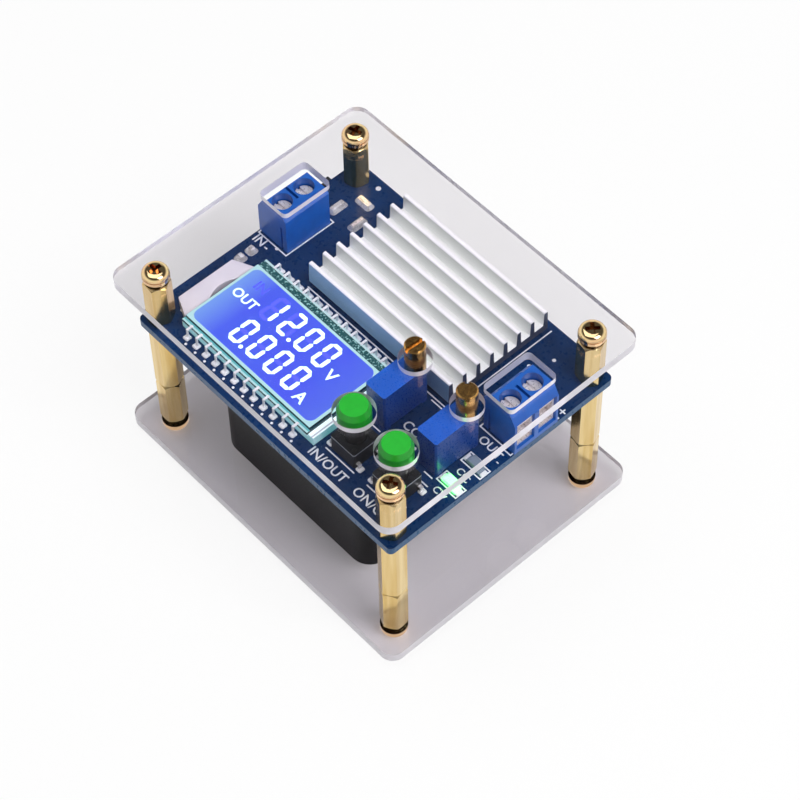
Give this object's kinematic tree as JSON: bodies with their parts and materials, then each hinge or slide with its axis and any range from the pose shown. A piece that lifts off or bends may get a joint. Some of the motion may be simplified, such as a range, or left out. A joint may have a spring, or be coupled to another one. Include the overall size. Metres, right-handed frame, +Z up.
{
  "type": "voltage regulator module",
  "caption": "Adjustable voltage regulator board between two clear plates on brass standoffs, with display, buttons, trimmers, heatsink, screw terminals and a cooling fan.",
  "frame": {"origin": "middle of the box round the module, at the underside of the lower screw heads that it stands on", "axes": "+X along the long edge towards the output terminal, +Y from the edge with display and buttons to the far edge, +Z up"},
  "size_m": [0.072, 0.058, 0.0484],
  "materials": {
    "clear_plate": "polished clear sheet",
    "standoff_brass": "satin turned brass",
    "screw_brass": "polished copper-toned plating",
    "board_blue": "solder mask, gloss",
    "fan_black": "moulded, satin",
    "motor_iron": "stacked core",
    "bright_steel": "bright plated",
    "tinned_metal": "tinned",
    "sink_aluminium": "satin extrusion",
    "chip_black": "moulded",
    "pad_grey": "soft pad",
    "display_glass": "clear glass",
    "display_blue": "lit film",
    "light_box_white": "translucent white",
    "button_green": "gloss moulding",
    "terminal_blue": "gloss moulding",
    "trimmer_blue": "satin moulding",
    "trimmer_brass": "turned brass",
    "socket_cream": "moulded",
    "ferrite_grey": "matt ferrite",
    "can_aluminium": "bright can",
    "lamp_pale": "clear lens",
    "solder_silver": "bright solder"
  },
  "bodies": {
    "module": {"bottom_plate": "clear_plate", "top_plate": "clear_plate", "top_screws": "screw_brass", "bottom_screws": "screw_brass", "lower_standoffs": "standoff_brass", "middle_standoffs": "standoff_brass", "upper_standoffs": "standoff_brass", "circuit_board": "board_blue", "fan_frame": "fan_black", "fan_stator": "motor_iron", "fan_screws": "bright_steel", "fan_nuts": "bright_steel", "heatsink": "sink_aluminium", "power_transistors": "chip_black", "thermal_pad": "pad_grey", "display_glass": "display_glass", "display_film": "display_blue", "display_light_box": "light_box_white", "display_pins": "tinned_metal", "dc_jack_body": "fan_black", "dc_jack_pin": "bright_steel", "dc_jack_contacts": "tinned_metal", "fan_socket": "socket_cream", "fan_socket_pins": "tinned_metal", "power_inductor": "ferrite_grey", "capacitors": "can_aluminium", "control_chips": "chip_black", "status_lamps": "lamp_pale", "solder_joints": "solder_silver", "button_1_switch": "chip_black", "button_1_cover": "tinned_metal", "button_1_leads": "tinned_metal", "trimmer_1_body": "trimmer_blue", "trimmer_1_leads": "tinned_metal", "button_2_switch": "chip_black", "button_2_cover": "tinned_metal", "button_2_leads": "tinned_metal", "trimmer_2_body": "trimmer_blue", "trimmer_2_leads": "tinned_metal", "input_terminal_body": "terminal_blue", "input_terminal_clamps": "tinned_metal", "output_terminal_body": "terminal_blue", "output_terminal_clamps": "tinned_metal"},
    "fan_rotor": {"fan_rotor": "fan_black"},
    "button_1": {"button_1_plunger": "chip_black", "button_1_cap": "button_green"},
    "button_2": {"button_2_plunger": "chip_black", "button_2_cap": "button_green"},
    "trimmer_screw_1": {"trimmer_1_screw": "trimmer_brass"},
    "trimmer_screw_2": {"trimmer_2_screw": "trimmer_brass"},
    "input_leaf_1": {"input_leaf_1": "tinned_metal"},
    "input_screw_1": {"input_screw_1": "bright_steel"},
    "input_leaf_2": {"input_leaf_2": "tinned_metal"},
    "input_screw_2": {"input_screw_2": "bright_steel"},
    "output_leaf_1": {"output_leaf_1": "tinned_metal"},
    "output_screw_1": {"output_screw_1": "bright_steel"},
    "output_leaf_2": {"output_leaf_2": "tinned_metal"},
    "output_screw_2": {"output_screw_2": "bright_steel"}
  },
  "joints": [
    {"name": "fan_spin", "type": "hinge", "parent": "module", "child": "fan_rotor", "pos_m": [0, 0, 0.014], "axis": [0, 0, 1], "continuous": true},
    {"name": "button_1_press", "type": "slide", "parent": "module", "child": "button_1", "axis": [0, 0, -1], "range_m": [0, 0.00025], "stiffness_N_per_m": 2000},
    {"name": "button_2_press", "type": "slide", "parent": "module", "child": "button_2", "axis": [0, 0, -1], "range_m": [0, 0.00025], "stiffness_N_per_m": 2000},
    {"name": "trimmer_1_turn", "type": "hinge", "parent": "module", "child": "trimmer_screw_1", "pos_m": [0.01315, -0.0021, 0.045], "axis": [0, 0, 1], "continuous": true},
    {"name": "trimmer_2_turn", "type": "hinge", "parent": "module", "child": "trimmer_screw_2", "pos_m": [0.0259, -0.0021, 0.045], "axis": [0, 0, 1], "continuous": true},
    {"name": "input_leaf_1_lift", "type": "slide", "parent": "module", "child": "input_leaf_1", "axis": [0, 0, 1], "range_m": [0, 0.002]},
    {"name": "input_screw_1_turn", "type": "hinge", "parent": "input_leaf_1", "child": "input_screw_1", "pos_m": [-0.0291, 0.00486, 0.0385], "axis": [0, 0, 1], "range_deg": [0, 1440]},
    {"name": "input_leaf_2_lift", "type": "slide", "parent": "module", "child": "input_leaf_2", "axis": [0, 0, 1], "range_m": [0, 0.002]},
    {"name": "input_screw_2_turn", "type": "hinge", "parent": "input_leaf_2", "child": "input_screw_2", "pos_m": [-0.0291, 0.00994, 0.0385], "axis": [0, 0, 1], "range_deg": [0, 1440]},
    {"name": "output_leaf_1_lift", "type": "slide", "parent": "module", "child": "output_leaf_1", "axis": [0, 0, 1], "range_m": [0, 0.002]},
    {"name": "output_screw_1_turn", "type": "hinge", "parent": "output_leaf_1", "child": "output_screw_1", "pos_m": [0.0291, 0.00486, 0.0385], "axis": [0, 0, 1], "range_deg": [0, 1440]},
    {"name": "output_leaf_2_lift", "type": "slide", "parent": "module", "child": "output_leaf_2", "axis": [0, 0, 1], "range_m": [0, 0.002]},
    {"name": "output_screw_2_turn", "type": "hinge", "parent": "output_leaf_2", "child": "output_screw_2", "pos_m": [0.0291, 0.00994, 0.0385], "axis": [0, 0, 1], "range_deg": [0, 1440]}
  ],
  "couplings": [
    {"joint": "input_screw_1_turn", "follows": "input_leaf_1_lift", "rad_per_m": 12566},
    {"joint": "input_screw_2_turn", "follows": "input_leaf_2_lift", "rad_per_m": 12566},
    {"joint": "output_screw_1_turn", "follows": "output_leaf_1_lift", "rad_per_m": 12566},
    {"joint": "output_screw_2_turn", "follows": "output_leaf_2_lift", "rad_per_m": 12566}
  ]
}
